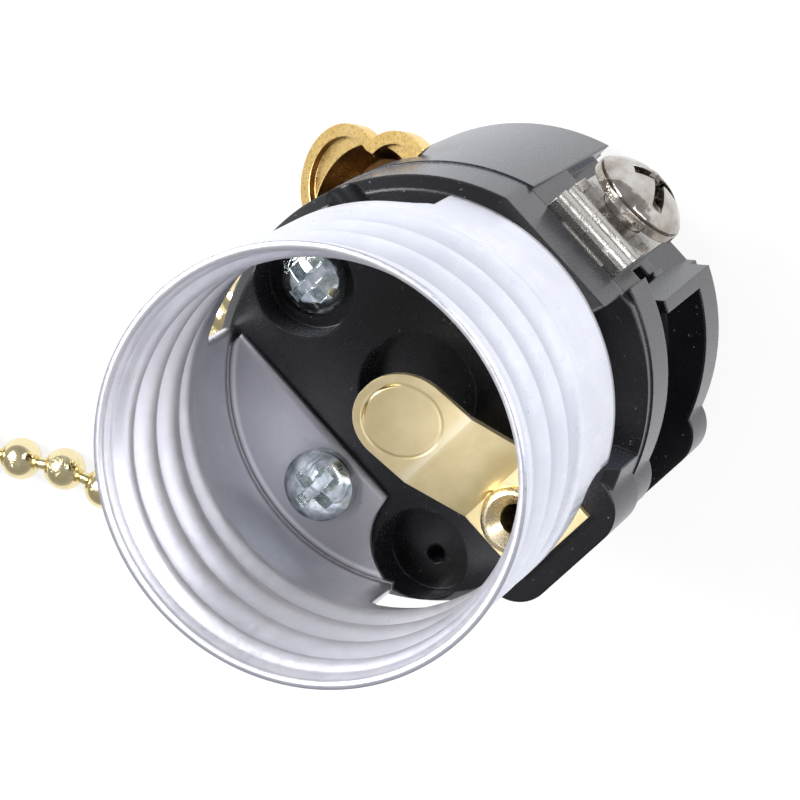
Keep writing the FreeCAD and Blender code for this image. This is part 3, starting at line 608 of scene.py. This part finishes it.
def sheet_piece(name, rows, slot_name, keep=None):
    """A grid of points as a smooth sheet, thickened to one side; keep says which cells stay."""
    points = [point * MM for row in rows for point in row]
    width = len(rows[0])
    faces = []
    for i in range(len(rows) - 1):
        for k in range(width - 1):
            if keep is None or keep(i, k):
                corner = i * width + k
                faces.append((corner, corner + width, corner + width + 1, corner + 1))
    mesh = bpy.data.meshes.new(name)
    mesh.from_pydata(points, [], faces)
    mesh.validate()
    mesh.shade_smooth()
    mesh.materials.append(materials[slot_name])
    piece = bpy.data.objects.new(name, mesh)
    bpy.context.scene.collection.objects.link(piece)
    weld = piece.modifiers.new("weld", "WELD")
    weld.merge_threshold = WELD_DISTANCE * MM
    solid = piece.modifiers.new("sheet", "SOLIDIFY")
    solid.thickness = SHEET * MM
    solid.offset = -1.0
    solid.use_even_offset = True
    mesh.set_sharp_from_angle(angle=math.radians(SHEET_EDGE_DEG))
    return piece


def make_shell():
    """The threaded sheet shell with its windows and lip, down to where its flange bends."""
    angles = set(range(0, 360 + WALL_STEP_DEG, WALL_STEP_DEG))
    for first, last, outline in WINDOWS:
        angles.update((first, last), (theta for theta, z in outline))
    angles = sorted(angles)
    low = FACE_Z + BEND_RADIUS
    levels = [low + (RIM_Z - low) * k / WALL_LEVELS for k in range(WALL_LEVELS + 1)]
    rows = [wall_column(theta, levels) for theta in angles]

    def keep(i, k):
        """Whether a cell lies beside or above the windows."""
        top = window_top(0.5 * (angles[i] + angles[i + 1]))
        return top is None or levels[k + 1] > min(top + LEVEL_SLACK, WINDOW_TOP)

    shell = sheet_piece("threaded_shell", rows, "aluminium_shell", keep)
    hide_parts("screw_shell")
    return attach(shell, "housing")


def make_flange():
    """The flat flange at the shell's foot: bent from the wall, cut by a chord and a scallop."""
    first = 180.0 - math.degrees(math.asin(FLANGE_TOP_Y / SKIRT_RADIUS))
    span = FLANGE_LAST_DEG - first
    rows = [flange_row(FLANGE_LAST_DEG - span * i / FLANGE_ROWS) for i in range(FLANGE_ROWS + 1)]
    flange = sheet_piece("shell_flange", rows, "aluminium_shell")
    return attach(flange, "housing")


def add_lamp(name, place, side, power, colour):
    """A soft square lamp, aimed at the socket's middle."""
    data = bpy.data.lights.new(name, "AREA")
    data.shape = "SQUARE"
    data.size = side * MM
    data.energy = power
    data.color = colour
    lamp = bpy.data.objects.new(name, data)
    lamp.location = Vector(place) * MM
    aim = Vector(LAMP_TARGET) * MM - lamp.location
    lamp.rotation_mode = "QUATERNION"
    lamp.rotation_quaternion = aim.to_track_quat("-Z", "Y")
    bpy.context.scene.collection.objects.link(lamp)


def seen_directly(tree):
    """1 for rays from the camera, and for those mirrored or refracted to it."""
    path = add_node(tree, "ShaderNodeLightPath", {}).outputs
    first = math_node(tree, "MAXIMUM", path["Is Camera Ray"], path["Is Glossy Ray"])
    return math_node(tree, "MAXIMUM", first, path["Is Transmission Ray"])


def make_floor():
    """A plain pale floor that shows nearly white and still takes a soft shadow."""
    half = FLOOR_REACH * MM
    points = [(-half, -half, 0), (half, -half, 0), (half, half, 0), (-half, half, 0)]
    mesh = bpy.data.meshes.new("floor")
    mesh.from_pydata(points, [], [(0, 1, 2, 3)])
    floor = bpy.data.objects.new("floor", mesh)
    bpy.context.scene.collection.objects.link(floor)
    made, tree, shader = material("floor_white")
    shader.inputs["Base Color"].default_value = (0.88, 0.88, 0.89, 1)
    shader.inputs["Roughness"].default_value = 0.9
    glow = add_node(tree, "ShaderNodeEmission", {"Strength": 1.0})
    share = times(tree, seen_directly(tree), FLOOR_WHITE)
    inputs = {0: share, 1: shader.outputs[0], 2: glow.outputs[0]}
    blend = add_node(tree, "ShaderNodeMixShader", inputs)
    tree.links.new(blend.outputs[0], tree.nodes["Material Output"].inputs["Surface"])
    mesh.materials.append(made)


def make_world():
    """A soft studio: plain light on the object, darker in mirrors, and a white background."""
    world = bpy.data.worlds.new("studio")
    world.use_nodes = True
    tree = world.node_tree
    background = tree.nodes["Background"]
    background.inputs["Color"].default_value = (1, 1, 1, 1)
    path = add_node(tree, "ShaderNodeLightPath", {}).outputs
    height = split(tree, coordinate(tree, "Generated"))["Z"]
    mirrored = ramp(tree, height, [(at, (level,) * 3) for at, level in MIRRORED_WORLD])
    lit = mix(tree, path["Is Glossy Ray"], (WORLD_LIGHT,) * 3, mirrored)
    strength = math_node(tree, "MAXIMUM", lit, path["Is Camera Ray"])
    tree.links.new(strength, background.inputs["Strength"])
    bpy.context.scene.world = world


def make_camera():
    """The photograph's camera."""
    data = bpy.data.cameras.new("camera")
    data.lens = CAMERA_LENS
    data.sensor_width = SENSOR_WIDTH
    data.clip_start = CAMERA_NEAR * MM
    data.clip_end = CAMERA_FAR * MM
    camera = bpy.data.objects.new("camera", data)
    turn = Matrix((CAMERA_RIGHT, CAMERA_UP, CAMERA_BACK)).transposed()
    camera.matrix_world = Matrix.Translation(CAMERA_PLACE) @ turn.to_4x4()
    bpy.context.scene.collection.objects.link(camera)
    bpy.context.scene.camera = camera


dress_cad()
make_shell()
make_flange()
make_floor()
make_world()
make_camera()
for lamp_row in LAMPS:
    add_lamp(*lamp_row)
bpy.context.scene.view_settings.view_transform = "Standard"
